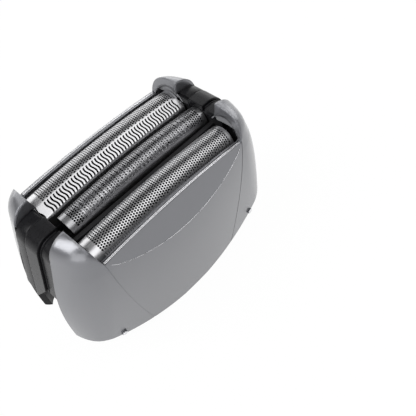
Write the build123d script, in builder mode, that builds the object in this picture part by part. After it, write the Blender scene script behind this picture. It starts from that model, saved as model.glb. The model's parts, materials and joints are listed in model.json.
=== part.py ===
import os
from math import asin, atan2, cos, degrees, radians, sin, sqrt, tan

from build123d import *

os.makedirs("parts", exist_ok=True)

# Shaver foil head, in millimetres. X runs along the foils, -Y is the front and +Z is up.
# The origin is on the rest plane, below the middle of the head.

# Foils: sheet, places and arches
sheet = 0.2
crest_flat = 0.1
skirt_z = 32.7
base_height = 1.5
base_lip = 0.1
base_bar = 1.0
cap_length = 1.3
lug_half = 1.2
lug_engage = 0.8
rear_y = 8.2
rear_radius = 3.65
rear_crest = 38.4
rear_slope = 30.0
rear_slope_length = 3.1
rear_shift = 0.2
rear_half = 19.9
centre_y = -0.3
centre_radius = 2.92
centre_crest = 37.9
centre_shift = 0.9
centre_half = 19.3
front_y = -8.75
front_radius = 3.65
front_crest = 37.6
front_shift = -0.2
front_half = 19.3

# End of the longest foil: the end walls, bands and shells are set out from it
foil_end = max(rear_half + abs(rear_shift), centre_half + abs(centre_shift), front_half + abs(front_shift))

# Silver shell, seen from above at five heights: reach beyond the foils, depth, set-back of the
# ends' corners, and corner radius as a share of the depth
wall = 1.2
side_bulge = 3.5
foot_height = -2.0
foot_half_depth = 11.6
foot_end_set = 4.0
waist_height = 12.0
waist_beyond = 10.6
waist_half_depth = 13.6
waist_end_set = 5.4
belt_height = 24.0
belt_beyond = 9.85
belt_half_depth = 15.0
belt_end_set = 7.4
brow_height = 33.0
brow_beyond = 7.2
brow_half_depth = 15.6
brow_end_set = 5.2
crown_height = 43.0
crown_beyond = 4.3
crown_half_depth = 15.3
crown_end_set = 5.0
low_corner_share = 0.68
belt_corner_share = 0.7
top_corner_share = 0.47

# Silver shell, seen from the front: smile-shaped foot, heels and horns
foot_flat_half = 4.0
smile_mid_x = 15.5
smile_mid_z = 2.7
smile_beyond = 5.6
smile_end_z = 7.6
heel_beyond = 10.2
heel_z = 14.8
heel_bulge = 1.1
horn_top = 40.8
hood_radius = 5.0
mouth_lean = 13.0
mouth_wall = 1.2
mouth_foot = 36.0
mouth_y = 8.5
mouth_radius = 4.4
mouth_top = 38.6

# Rails and the flat facet under them
rail_height = 35.25
rail_arch = 1.0
rail_groove = 0.24
rail_groove_depth = 0.35
facet_y = 13.9
facet_lean = 15.2

# Seams between the panels and the corners, measured in from the ends of the rails
seam_gap = 0.16
seam_foot_in = 6.5
seam_mid_in = 1.9
seam_mid_z = 19.5
nub_in = 4.1
nub_z = 6.3
nub_radius = 0.7
nub_proud = 0.4

# Black end bands and arms
band_half = 5.8
band_side_gap = 0.1
band_thickness = 1.6
band_foot = 24.5
bridge_gap = 0.2
bridge_length = 2.0
bridge_top = 37.6
bend_radius = 3.6
end_lean = 14.5
channel_depth = 0.8
arm_proud = 0.6
arm_front = 1.9
arm_rear = 2.3
arm_front_gap = 0.6
arm_rear_gap = 0.1
arm_drop = 4.2

# Chassis ring and its ribs
ring_foot = 7.5
ring_top = 28.5
ring_beyond = 3.2
ring_half_depth = 10.4
ring_corner = 6.0
ring_wall = 1.4
rib_width = 1.2
rib_foot = 10.0
rib_top = 27.0
rib_near = 9.0
rib_inset = 3.4
end_rib_half = 4.5
end_rib_foot = 25.0
fit = 0.05

# Foil frame: deck, end walls and the wall between the centre and front foils
deck_thickness = 1.4
deck_beyond = 1.0
deck_half_depth = 12.6
window_inset = 1.0
end_gap = 0.5
end_wall = 1.5
end_wall_top = 35.9
groove_half = 1.5
groove_depth = 1.1
divider_rear = 3.7
divider_front = 4.7
divider_top = 34.6

# Slits and holes: each row keeps its count and ends a set way in from the end of its foil
wave_count = 45
wave_inset = 2.17
wave_width = 0.4
wave_swing = 0.3
wave_margin = 0.35
slit_count = 41
slit_inset = 2.1
slit_width = 0.4
slit_rise = 2.7
slit_drop = 0.8
hole_count = 29
hole_inset = 2.5
hole_radius = 0.4
hole_start = 1.2
hole_turns = (-54.0, -18.0, 18.0, 54.0)

# Built-in cutter under the centre foil
blade_clearance = 0.2
blade_count = 31
blade_inset = 4.3
blade_thickness = 0.3
blade_width = 0.6
blade_leg = 1.2
comb_half_width = 2.2
comb_foot = 33.4
comb_height = 0.9
carrier_half_width = 1.5
carrier_foot = 29.2
carrier_top = 31.4
fork_half = 2.2
fork_slot_half = 1.1
fork_foot = 25.0
fork_roof = 28.6
post_radius = 0.5
post_clearance = 0.1
spring_inset = 9.3
spring_radius = 1.0
spring_wire = 0.35
spring_turns = 3

# Values that follow from the ones above
waist_half_length = foil_end + waist_beyond
belt_half_length = foil_end + belt_beyond
brow_half_length = foil_end + brow_beyond
crown_half_length = foil_end + crown_beyond
side_radius = (belt_half_length**2 + side_bulge**2) / (2 * side_bulge)
smile_end_x = foil_end + smile_beyond
heel_x = foil_end + heel_beyond
nub_x = smile_end_x - nub_in
rail_half = front_half
rail_mid = rail_height + rail_arch
arch_radius = rail_half**2 / (2 * rail_arch)
seam_foot_x = rail_half - seam_foot_in
seam_mid_x = rail_half - seam_mid_in
bridge_in = foil_end + bridge_gap
bend_x = bridge_in + bridge_length
ring_half_length = foil_end + ring_beyond
rib_far = ring_half_length - rib_inset
end_wall_in = foil_end + end_gap
end_wall_out = end_wall_in + end_wall
groove_out = end_wall_in + groove_depth
lug_reach = end_wall_in + lug_engage
deck_half_length = end_wall_out + deck_beyond
window_half_length = min(rear_half, centre_half, front_half) - window_inset
wave_pitch = 2 * (rear_half - wave_inset) / (wave_count - 1)
slit_pitch = 2 * (front_half - slit_inset) / (slit_count - 1)
hole_pitch = 2 * (centre_half - hole_inset) / (hole_count - 1)
blade_pitch = 2 * (centre_half - blade_inset) / (blade_count - 1)
carrier_half_length = centre_half - blade_inset
spring_x = centre_half - spring_inset
span = waist_half_length + 40.0
low_sections = [
    (foot_height, waist_half_length, foot_half_depth, low_corner_share, foot_end_set),
    (waist_height, waist_half_length, waist_half_depth, low_corner_share, waist_end_set),
    (belt_height, belt_half_length, belt_half_depth, belt_corner_share, belt_end_set),
]
top_sections = [
    (brow_height, brow_half_length, brow_half_depth, top_corner_share, brow_end_set),
    (crown_height, crown_half_length, crown_half_depth, top_corner_share, crown_end_set),
]


# Axis that the arched rails and foils are drawn about
def arch_axis(shift):
    return Axis((shift, 0, rail_mid - arch_radius), (0, 1, 0))


def arch_angle(half_length):
    return degrees(asin(half_length / arch_radius))


def arch_drop(distance):
    return arch_radius - sqrt(arch_radius**2 - distance**2)


# Plan outline of the head, drawn in by inset: two long arcs, two end arcs whose corners are set
# back by end_set, and a corner arc that touches both at each corner
def plan_face(length, depth, corner_share, end_set, inset):
    side = side_radius - inset
    end = (depth**2 + end_set**2) / (2 * end_set) - inset
    corner = corner_share * depth - inset
    half_length = length - inset
    half_depth = depth - inset
    side_y = half_depth - side
    end_x = half_length - end
    apart = sqrt(end_x**2 + side_y**2)
    along = ((side - corner) ** 2 - (end - corner) ** 2 + apart**2) / (2 * apart)
    aside = sqrt((side - corner) ** 2 - along**2)
    corner_x = (along * end_x - aside * side_y) / apart
    corner_y = side_y + (-along * side_y - aside * end_x) / apart
    side_turn = atan2(corner_y - side_y, corner_x)
    end_turn = atan2(corner_y, corner_x - end_x)
    turns = [side_turn, (side_turn + end_turn) / 2, end_turn]
    touch, middle, last = [(corner_x + corner * cos(t), corner_y + corner * sin(t)) for t in turns]
    with BuildSketch() as face:
        with BuildLine():
            ThreePointArc((-touch[0], touch[1]), (0, half_depth), touch)
            ThreePointArc(touch, middle, last)
            ThreePointArc(last, (half_length, 0), (last[0], -last[1]))
            ThreePointArc((last[0], -last[1]), (middle[0], -middle[1]), (touch[0], -touch[1]))
            ThreePointArc((touch[0], -touch[1]), (0, -half_depth), (-touch[0], -touch[1]))
            ThreePointArc((-touch[0], -touch[1]), (-middle[0], -middle[1]), (-last[0], -last[1]))
            ThreePointArc((-last[0], -last[1]), (-half_length, 0), (-last[0], last[1]))
            ThreePointArc((-last[0], last[1]), (-middle[0], middle[1]), (-touch[0], touch[1]))
        make_face()
    return face.sketch


# Front view of the head's foot: a smile with a short flat to stand on and a heel at each end
def foot_face():
    with BuildSketch() as face:
        with BuildLine():
            heel_mid = ((heel_x + smile_end_x) / 2 + heel_bulge, (heel_z + smile_end_z) / 2 - heel_bulge)
            Polyline((0, crown_height), (span / 2, crown_height), (span / 2, heel_z), (heel_x, heel_z))
            ThreePointArc((heel_x, heel_z), heel_mid, (smile_end_x, smile_end_z))
            ThreePointArc((smile_end_x, smile_end_z), (smile_mid_x, smile_mid_z), (foot_flat_half, 0))
            Line((foot_flat_half, 0), (0, 0))
            mirror(about=Plane.YZ)
        make_face()
    return face.sketch


# Upper part of the outer form, from the brow up, with a rolled edge round the top
def hood(inset):
    with BuildPart() as block:
        for height, *sizes in top_sections:
            with BuildSketch(Plane.XY.offset(height)):
                add(plan_face(*sizes, inset))
        loft(ruled=True)
        split(bisect_by=Plane.XY.offset(horn_top - inset), keep=Keep.BOTTOM)
        fillet(block.edges().group_by(Axis.Z)[-1], hood_radius - inset)
    return block.part


# Solid outer form of the head, drawn in by inset
def envelope(inset):
    top = hood(inset)
    with BuildPart() as block:
        for height, *sizes in low_sections + top_sections:
            with BuildSketch(Plane.XY.offset(height)):
                add(plan_face(*sizes, inset))
        loft()
        split(bisect_by=Plane.XY.offset(brow_height), keep=Keep.BOTTOM)
        add(top)
        if inset == 0:
            with BuildSketch(Plane.XZ):
                add(foot_face())
            extrude(amount=span, both=True, mode=Mode.INTERSECT)
    return block.part


# Outer form with the sloped facet below the front rail cut off
def faceted(block, inset):
    along = (sin(radians(facet_lean)), cos(radians(facet_lean)))
    base = (-facet_y + inset * along[1], rail_mid - inset * along[0])
    above = (base[0] + 10 * along[0], base[1] + 10 * along[1])
    below = (base[0] - 12 * along[0], base[1] - 12 * along[1])
    with BuildPart() as cut_block:
        add(block)
        with BuildSketch(Plane.YZ):
            with BuildLine():
                Polyline(above, below, (-span, below[1]), (-span, above[1]), close=True)
            make_face()
        extrude(amount=span, both=True, mode=Mode.SUBTRACT)
    return cut_block.part


outer = envelope(0)
inner = envelope(wall)

# Fine groove along the middle of the front rail
with BuildPart() as groove_ring:
    with BuildSketch(Plane.YZ):
        with Locations((wall / 2 - facet_y, rail_mid)):
            Rectangle(rail_groove, 2 * rail_groove_depth)
    revolve(axis=arch_axis(0), revolution_arc=arch_angle(rail_half + 1))
    mirror(about=Plane.YZ)

# Front panel: the shield between the two seams, under the arched rail
with BuildPart() as front_panel:
    add(faceted(outer, 0))
    add(faceted(inner, wall), mode=Mode.SUBTRACT)
    with BuildSketch(Plane.XZ):
        edge = seam_gap / 2
        with BuildLine():
            right = ThreePointArc(
                (seam_foot_x - edge, -1), (seam_mid_x - edge, seam_mid_z), (rail_half - edge, rail_height)
            )
            left = ThreePointArc(
                (edge - seam_foot_x, -1), (edge - seam_mid_x, seam_mid_z), (edge - rail_half, rail_height)
            )
            ThreePointArc(left @ 1, (0, rail_mid), right @ 1)
            Line(left @ 0, right @ 0)
        make_face()
    extrude(amount=span, mode=Mode.INTERSECT)
    add(groove_ring.part, mode=Mode.SUBTRACT)
front_panel.part.label = "front_panel"
export_step(front_panel.part, "parts/front_panel.step")

with BuildPart() as rear_panel:
    mirror(front_panel.part, about=Plane.XZ)
rear_panel.part.label = "rear_panel"
export_step(rear_panel.part, "parts/rear_panel.step")


# Leaning end of a horn, over the end of a foil
def mouth_x(height):
    return rail_half + seam_gap / 2 + (height - rail_height) * tan(radians(mouth_lean))


# Hollow of a corner shell, which leaves a wall at the horn's end and on its side to the band
with BuildPart() as horn_cavity:
    add(inner)
    with BuildSketch(Plane.XZ):
        with BuildLine():
            Polyline(
                (0, foot_height - 1), (span, foot_height - 1), (span, horn_top + 1),
                (mouth_x(horn_top + 1) + mouth_wall, horn_top + 1), (mouth_x(mouth_foot) + mouth_wall, mouth_foot),
                (0, mouth_foot), close=True,
            )
        make_face()
    extrude(amount=span, both=True, mode=Mode.INTERSECT)
    with BuildSketch(Plane.XY.offset(mouth_foot)):
        Rectangle(2 * span, 2 * (band_half + band_side_gap + mouth_wall))
    extrude(amount=span, mode=Mode.SUBTRACT)

# Corner shells with horns: one is modelled and mirrored to the other three places
with BuildPart() as front_right_corner:
    add(outer)
    with BuildSketch(Plane.XZ):
        with Locations((nub_x, nub_z)):
            Circle(nub_radius)
    extrude(amount=span)
    add(envelope(-nub_proud), mode=Mode.INTERSECT)
    add(horn_cavity.part, mode=Mode.SUBTRACT)
    with BuildSketch(Plane.YZ.offset(rail_half - mouth_wall)):
        with Locations((-mouth_y, mouth_top - mouth_radius)):
            Circle(mouth_radius)
        with Locations((-mouth_y, mouth_top - 2 * mouth_radius)):
            Rectangle(2 * mouth_radius, 2 * mouth_radius)
    extrude(amount=mouth_x(mouth_top) + 2 * mouth_wall - rail_half, mode=Mode.SUBTRACT)
    with BuildSketch(Plane.XZ.offset(band_half + band_side_gap)):
        edge = seam_gap / 2
        with BuildLine():
            seam = ThreePointArc(
                (seam_foot_x + edge, -1), (seam_mid_x + edge, seam_mid_z), (rail_half + edge, rail_height)
            )
            Polyline(seam @ 1, (mouth_x(horn_top + 1), horn_top + 1), (span, horn_top + 1), (span, -1), seam @ 0)
        make_face()
    extrude(amount=span, mode=Mode.INTERSECT)
front_right_corner.part.label = "front_right_corner"
export_step(front_right_corner.part, "parts/front_right_corner.step")

with BuildPart() as front_left_corner:
    mirror(front_right_corner.part, about=Plane.YZ)
front_left_corner.part.label = "front_left_corner"
export_step(front_left_corner.part, "parts/front_left_corner.step")

with BuildPart() as rear_right_corner:
    mirror(front_right_corner.part, about=Plane.XZ)
rear_right_corner.part.label = "rear_right_corner"
export_step(rear_right_corner.part, "parts/rear_right_corner.step")

with BuildPart() as rear_left_corner:
    mirror(front_left_corner.part, about=Plane.XZ)
rear_left_corner.part.label = "rear_left_corner"
export_step(rear_left_corner.part, "parts/rear_left_corner.step")


# Foot of a strip's curve that lies shift outside the band's outer face
def strip_foot(shift, foot):
    lean = radians(end_lean)
    radius = bend_radius + shift
    bend_end_x = bend_x + radius * cos(lean)
    bend_end_z = bridge_top - bend_radius + radius * sin(lean)
    return (bend_end_x + (bend_end_z - foot) * tan(lean), foot)


# Side view of a strip that runs along the bridge, round the bend and down the end
def strip_face(shift, thickness, foot):
    outside = bridge_top + shift
    inside = outside - thickness
    with BuildSketch() as face:
        with BuildLine():
            Line((bridge_in, outside), (bend_x, outside))
            outer_bend = JernArc((bend_x, outside), (1, 0), bend_radius + shift, end_lean - 90)
            Line(outer_bend @ 1, strip_foot(shift, foot))
            Line(strip_foot(shift, foot), strip_foot(shift - thickness, foot))
            inner_bend = JernArc((bend_x, inside), (1, 0), bend_radius + shift - thickness, end_lean - 90)
            Line(inner_bend @ 1, strip_foot(shift - thickness, foot))
            Line((bend_x, inside), (bridge_in, inside))
            Line((bridge_in, inside), (bridge_in, outside))
        make_face()
    return face.sketch


# End band with the channel that the arm lies in
with BuildPart() as right_end_band:
    with BuildSketch(Plane.XZ):
        add(strip_face(0, band_thickness, band_foot))
    extrude(amount=band_half, both=True)
    with BuildSketch(Plane.XZ.offset(arm_front + arm_front_gap)):
        add(strip_face(1, 1 + channel_depth, band_foot - 1))
    extrude(amount=-(arm_front + arm_front_gap + arm_rear + arm_rear_gap), mode=Mode.SUBTRACT)
right_end_band.part.label = "right_end_band"
export_step(right_end_band.part, "parts/right_end_band.step")

with BuildPart() as left_end_band:
    mirror(right_end_band.part, about=Plane.YZ)
left_end_band.part.label = "left_end_band"
export_step(left_end_band.part, "parts/left_end_band.step")

# End arm: proud strip with a foot cut to a point at its rear side
with BuildPart() as right_end_arm:
    arm_foot = band_foot - arm_drop
    with BuildSketch(Plane.XZ.offset(arm_front)):
        add(strip_face(arm_proud, arm_proud + channel_depth, arm_foot))
    extrude(amount=-(arm_front + arm_rear))
    with BuildSketch(Plane.YZ):
        with BuildLine():
            Polyline(
                (-arm_front - 1, band_foot + 0.6), (-arm_front - 1, arm_foot - 1), (arm_rear, arm_foot - 1),
                (arm_rear, arm_foot), (-arm_front, band_foot + 0.6), close=True,
            )
        make_face()
    extrude(amount=span, mode=Mode.SUBTRACT)
right_end_arm.part.label = "right_end_arm"
export_step(right_end_arm.part, "parts/right_end_arm.step")

with BuildPart() as left_end_arm:
    mirror(right_end_arm.part, about=Plane.YZ)
left_end_arm.part.label = "left_end_arm"
export_step(left_end_arm.part, "parts/left_end_arm.step")

# Ribs that reach from the chassis ring to the shells
with BuildPart() as ribs:
    with Locations((-rib_far, 0), (-rib_near, 0), (rib_near, 0), (rib_far, 0)):
        with Locations((0, 0, (rib_foot + rib_top) / 2)):
            Box(rib_width, span, rib_top - rib_foot)
    add(envelope(wall + fit), mode=Mode.INTERSECT)

# Chassis: ring with a socket for the shaver's neck, ribs to the shells and shelves behind the end bands
with BuildPart() as chassis:
    with BuildSketch(Plane.XY.offset(ring_foot)):
        RectangleRounded(2 * ring_half_length, 2 * ring_half_depth, ring_corner)
    extrude(amount=ring_top - ring_foot)
    add(ribs.part)
    with BuildSketch(Plane.XZ) as shelf:
        with BuildLine():
            Polyline(
                (ring_half_length - ring_wall, end_rib_foot),
                strip_foot(-band_thickness - fit, end_rib_foot),
                strip_foot(-band_thickness - fit, ring_top),
                (ring_half_length - ring_wall, ring_top), close=True,
            )
        make_face()
        mirror(about=Plane.YZ)
    extrude(amount=end_rib_half, both=True)
    with BuildSketch(Plane.XY.offset(ring_foot)):
        RectangleRounded(
            2 * (ring_half_length - ring_wall), 2 * (ring_half_depth - ring_wall), ring_corner - ring_wall
        )
    extrude(amount=ring_top - ring_foot, mode=Mode.SUBTRACT)
chassis.part.label = "chassis"
export_step(chassis.part, "parts/chassis.step")


# Foil frame: deck on the chassis, end walls with guide grooves and a divider between two foils
with BuildPart() as foil_frame:
    with BuildSketch(Plane.XY.offset(ring_top)):
        Rectangle(2 * deck_half_length, 2 * deck_half_depth)
    extrude(amount=deck_thickness)
    with BuildSketch(Plane.XY.offset(ring_top)):
        for end in (-1, 1):
            with Locations((end * (end_wall_in + end_wall_out) / 2, 0)):
                Rectangle(end_wall_out - end_wall_in, 2 * deck_half_depth)
    extrude(amount=end_wall_top - ring_top)
    with BuildSketch(Plane.XY.offset(ring_top)):
        with Locations((0, -(divider_rear + divider_front) / 2)):
            Rectangle(2 * end_wall_in, divider_front - divider_rear)
    extrude(amount=divider_top - ring_top)
    add(envelope(wall + fit), mode=Mode.INTERSECT)
    with BuildSketch(Plane.XY.offset(ring_top)):
        for place_y, radius in ((rear_y, rear_radius), (centre_y, centre_radius), (front_y, front_radius)):
            with Locations((0, place_y)):
                RectangleRounded(2 * window_half_length, 2 * (radius - base_bar), 0.8)
    extrude(amount=deck_thickness, mode=Mode.SUBTRACT)
    with BuildSketch(Plane.XY.offset(ring_top + deck_thickness)):
        for end in (-1, 1):
            with Locations(*[(end * groove_out / 2, place_y) for place_y in (rear_y, centre_y, front_y)]):
                Rectangle(groove_out, 2 * groove_half)
    extrude(amount=span, mode=Mode.SUBTRACT)
    with BuildSketch(Plane.XY.offset(ring_top + deck_thickness)):
        with Locations((0, -(divider_rear + divider_front) / 2)):
            Rectangle(2 * end_wall_in, divider_front - divider_rear)
    extrude(amount=divider_top - ring_top - deck_thickness)
foil_frame.part.label = "foil_frame"
export_step(foil_frame.part, "parts/foil_frame.step")


# Height of the axis of a round-backed foil, below the narrow flat along its crest
def round_axis(crest, radius):
    return crest - radius + crest_flat / 2


# Solid section of a round-backed foil, drawn in by inset
def round_face(place_y, crest, radius, inset):
    axis_z = round_axis(crest, radius)
    flat = crest_flat / 2
    reach = radius - inset
    bend = reach - flat
    slant = flat + bend * sin(radians(45))
    rise = axis_z + bend * cos(radians(45))
    with BuildSketch() as face:
        with BuildLine():
            Line((place_y - reach, skirt_z), (place_y - reach, axis_z))
            ThreePointArc(
                (place_y - reach, axis_z), (place_y - slant, rise), (place_y - flat, axis_z + bend)
            )
            Line((place_y - flat, axis_z + bend), (place_y + flat, axis_z + bend))
            ThreePointArc(
                (place_y + flat, axis_z + bend), (place_y + slant, rise), (place_y + reach, axis_z)
            )
            Polyline((place_y + reach, axis_z), (place_y + reach, skirt_z), (place_y - reach, skirt_z))
        make_face()
    return face.sketch


# Front foil: round back, and straight slits down its outer side
with BuildPart() as front_foil:
    with BuildSketch(Plane.YZ.offset(front_shift)):
        add(round_face(front_y, front_crest, front_radius, 0))
        add(round_face(front_y, front_crest, front_radius, sheet), mode=Mode.SUBTRACT)
    revolve(axis=arch_axis(front_shift), revolution_arc=arch_angle(front_half))
    mirror(about=Plane.YZ.offset(front_shift))
    front_axis_z = round_axis(front_crest, front_radius)
    slit_height = slit_rise + slit_drop
    slit_depth = front_radius - sqrt(front_radius**2 - slit_rise**2) + sheet
    slit_places = []
    for index in range(slit_count):
        offset_x = (index - (slit_count - 1) / 2) * slit_pitch
        slit_z = front_axis_z + (slit_rise - slit_drop) / 2 - arch_drop(offset_x)
        slit_places.append((front_shift + offset_x, slit_z))
    with BuildSketch(Plane.XZ.offset(front_radius - front_y + 1)):
        with Locations(*slit_places):
            Rectangle(slit_width, slit_height)
    extrude(amount=-(slit_depth + 1), mode=Mode.SUBTRACT)
front_foil.part.label = "front_foil"
export_step(front_foil.part, "parts/front_foil.step")

# Centre foil: narrower, with a round back
with BuildPart() as centre_foil:
    with BuildSketch(Plane.YZ.offset(centre_shift)):
        add(round_face(centre_y, centre_crest, centre_radius, 0))
        add(round_face(centre_y, centre_crest, centre_radius, sheet), mode=Mode.SUBTRACT)
    revolve(axis=arch_axis(centre_shift), revolution_arc=arch_angle(centre_half))
    mirror(about=Plane.YZ.offset(centre_shift))
    for row_turn in hole_turns:
        row_normal = (0, sin(radians(row_turn)), cos(radians(row_turn)))
        row_origin = (centre_shift, centre_y, round_axis(centre_crest, centre_radius))
        row_plane = Plane(row_origin, (1, 0, 0), row_normal)
        with BuildSketch(row_plane.offset(hole_start)):
            with GridLocations(hole_pitch, 1, hole_count, 1):
                RegularPolygon(hole_radius, 4)
        extrude(amount=centre_radius - hole_start + 0.5, mode=Mode.SUBTRACT)
centre_foil.part.label = "centre_foil"
export_step(centre_foil.part, "parts/centre_foil.step")

# Rear foil: round back that runs out into a flat slope with wavy slits
slope = radians(rear_slope)
rear_axis_z = rear_crest - rear_radius
slope_top_y = rear_y - rear_radius * sin(slope)
slope_top_z = rear_axis_z + rear_radius * cos(slope)
slope_foot_y = slope_top_y - rear_slope_length * cos(slope)
slope_foot_z = slope_top_z - rear_slope_length * sin(slope)


# Solid section of the rear foil, drawn in by inset
def rear_face(inset):
    radius = rear_radius - inset
    turn = (radians(90) - slope) / 2
    top_y = rear_y - radius * sin(slope)
    top_z = rear_axis_z + radius * cos(slope)
    foot_y = slope_foot_y + inset
    foot_z = top_z - (top_y - foot_y) * tan(slope)
    with BuildSketch() as face:
        with BuildLine():
            Line((rear_y + radius, skirt_z), (rear_y + radius, rear_axis_z))
            ThreePointArc(
                (rear_y + radius, rear_axis_z),
                (rear_y + radius * sin(turn), rear_axis_z + radius * cos(turn)),
                (top_y, top_z),
            )
            Polyline((top_y, top_z), (foot_y, foot_z), (foot_y, skirt_z), (rear_y + radius, skirt_z))
        make_face()
    return face.sketch


# One wavy slit, seen from above, as short straight runs
wave_low = slope_foot_y + sheet + wave_margin
wave_high = slope_top_y
wave_turns = (0.0, 1 / 6, 1 / 3, 1 / 2, 2 / 3, 5 / 6, 1.0)
wave_line = [(wave_swing * sin(radians(360 * t)), wave_low + t * (wave_high - wave_low)) for t in wave_turns]
wave_side = wave_width / 2
with BuildPart() as wave_slit:
    with BuildSketch(Plane.XY.offset(skirt_z)):
        with BuildLine():
            left_side = [(x - wave_side, y) for x, y in wave_line]
            right_side = [(x + wave_side, y) for x, y in reversed(wave_line)]
            Polyline(*left_side, *right_side, close=True)
        make_face()
    extrude(amount=rear_crest - skirt_z)

with BuildPart() as rear_foil:
    with BuildSketch(Plane.YZ.offset(rear_shift)):
        add(rear_face(0))
        add(rear_face(sheet), mode=Mode.SUBTRACT)
    revolve(axis=arch_axis(rear_shift), revolution_arc=arch_angle(rear_half))
    mirror(about=Plane.YZ.offset(rear_shift))
    with Locations((rear_shift, 0)):
        with GridLocations(wave_pitch, 1, wave_count, 1):
            add(wave_slit.part, mode=Mode.SUBTRACT)
rear_foil.part.label = "rear_foil"
export_step(rear_foil.part, "parts/rear_foil.step")


# Holder under a foil: base frame, a cap in each open end of the foil and a guide lug at each end
def foil_holder(shift, half_length, low_y, high_y, lug_y, cap_face):
    middle_y = (low_y + high_y) / 2
    width = high_y - low_y
    with BuildPart() as hollow:
        with BuildSketch(Plane.YZ.offset(shift)):
            with Locations((middle_y, skirt_z + span / 2)):
                Rectangle(width + 1, span)
            with Locations((middle_y, skirt_z)):
                Rectangle(width - 2 * base_bar, 4 * base_height)
        revolve(axis=arch_axis(shift), revolution_arc=arch_angle(half_length - cap_length))
        mirror(about=Plane.YZ.offset(shift))
    with BuildPart() as holder:
        with BuildSketch(Plane.YZ.offset(shift)):
            with Locations((middle_y, skirt_z - base_height / 2)):
                Rectangle(width + 2 * base_lip, base_height)
            add(cap_face)
        revolve(axis=arch_axis(shift), revolution_arc=arch_angle(half_length))
        mirror(about=Plane.YZ.offset(shift))
        add(hollow.part, mode=Mode.SUBTRACT)
        lug_z = skirt_z - base_height / 2 - arch_drop(half_length)
        for end in (-1, 1):
            lug_root = half_length + end * shift - cap_length / 2
            with Locations((end * (lug_root + lug_reach) / 2, lug_y, lug_z)):
                Box(lug_reach - lug_root, 2 * lug_half, base_height)
    return holder.part


with BuildPart() as front_foil_holder:
    add(foil_holder(
        front_shift, front_half, front_y - front_radius, front_y + front_radius, front_y,
        round_face(front_y, front_crest, front_radius, sheet + fit),
    ))
front_foil_holder.part.label = "front_foil_holder"
export_step(front_foil_holder.part, "parts/front_foil_holder.step")

with BuildPart() as centre_foil_holder:
    add(foil_holder(
        centre_shift, centre_half, centre_y - centre_radius, centre_y + centre_radius, centre_y,
        round_face(centre_y, centre_crest, centre_radius, sheet + fit),
    ))
centre_foil_holder.part.label = "centre_foil_holder"
export_step(centre_foil_holder.part, "parts/centre_foil_holder.step")

with BuildPart() as rear_foil_holder:
    add(foil_holder(
        rear_shift, rear_half, slope_foot_y, rear_y + rear_radius, rear_y, rear_face(sheet + fit),
    ))
rear_foil_holder.part.label = "rear_foil_holder"
export_step(rear_foil_holder.part, "parts/rear_foil_holder.step")

# Built-in cutter: arched blades on a comb bar
blade_radius = centre_radius - sheet - blade_clearance
blade_axis_z = round_axis(centre_crest, centre_radius)
with BuildPart() as blade:
    with BuildSketch(Plane.YZ):
        with BuildLine():
            Line((centre_y - blade_radius, blade_axis_z - blade_leg), (centre_y - blade_radius, blade_axis_z))
            ThreePointArc(
                (centre_y - blade_radius, blade_axis_z), (centre_y, blade_axis_z + blade_radius),
                (centre_y + blade_radius, blade_axis_z),
            )
            Line((centre_y + blade_radius, blade_axis_z), (centre_y + blade_radius, blade_axis_z - blade_leg))
            Line((centre_y + blade_radius, blade_axis_z - blade_leg), (centre_y - blade_radius, blade_axis_z - blade_leg))
        make_face()
        with BuildLine():
            eye = blade_radius - blade_width
            Line((centre_y - eye, blade_axis_z - blade_leg), (centre_y - eye, blade_axis_z))
            ThreePointArc((centre_y - eye, blade_axis_z), (centre_y, blade_axis_z + eye), (centre_y + eye, blade_axis_z))
            Line((centre_y + eye, blade_axis_z), (centre_y + eye, blade_axis_z - blade_leg))
            Line((centre_y + eye, blade_axis_z - blade_leg), (centre_y - eye, blade_axis_z - blade_leg))
        make_face(mode=Mode.SUBTRACT)
    extrude(amount=blade_thickness / 2, both=True)

with BuildPart() as centre_cutter:
    comb_length = (blade_count - 1) * blade_pitch + 2 * blade_thickness
    with Locations((centre_shift, centre_y, comb_foot + comb_height / 2)):
        Box(comb_length, 2 * comb_half_width, comb_height)
    with Locations(*[(centre_shift + end * spring_x, centre_y, comb_foot + comb_height / 2) for end in (-1, 1)]):
        Cylinder(post_radius + post_clearance, 2 * comb_height, mode=Mode.SUBTRACT)
    for index in range(blade_count):
        offset_x = (index - (blade_count - 1) / 2) * blade_pitch
        with Locations((centre_shift + offset_x, 0, -arch_drop(offset_x))):
            add(blade.part)
centre_cutter.part.label = "centre_cutter"
export_step(centre_cutter.part, "parts/centre_cutter.step")

# Carrier bar under the comb: posts inside the springs, and a fork for the drive pin
with BuildPart() as cutter_carrier:
    with Locations((centre_shift, centre_y, (carrier_foot + carrier_top) / 2)):
        Box(2 * carrier_half_length, 2 * carrier_half_width, carrier_top - carrier_foot)
    with Locations((centre_shift, centre_y, (fork_foot + carrier_foot) / 2)):
        Box(2 * fork_half, 2 * carrier_half_width, carrier_foot - fork_foot)
    with Locations((centre_shift, centre_y, (fork_foot + fork_roof) / 2)):
        Box(2 * fork_slot_half, span, fork_roof - fork_foot, mode=Mode.SUBTRACT)
    post_top = comb_foot + comb_height / 2
    with Locations(*[(centre_shift + end * spring_x, centre_y, (carrier_top + post_top) / 2) for end in (-1, 1)]):
        Cylinder(post_radius, post_top - carrier_top)
cutter_carrier.part.label = "cutter_carrier"
export_step(cutter_carrier.part, "parts/cutter_carrier.step")

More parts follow.
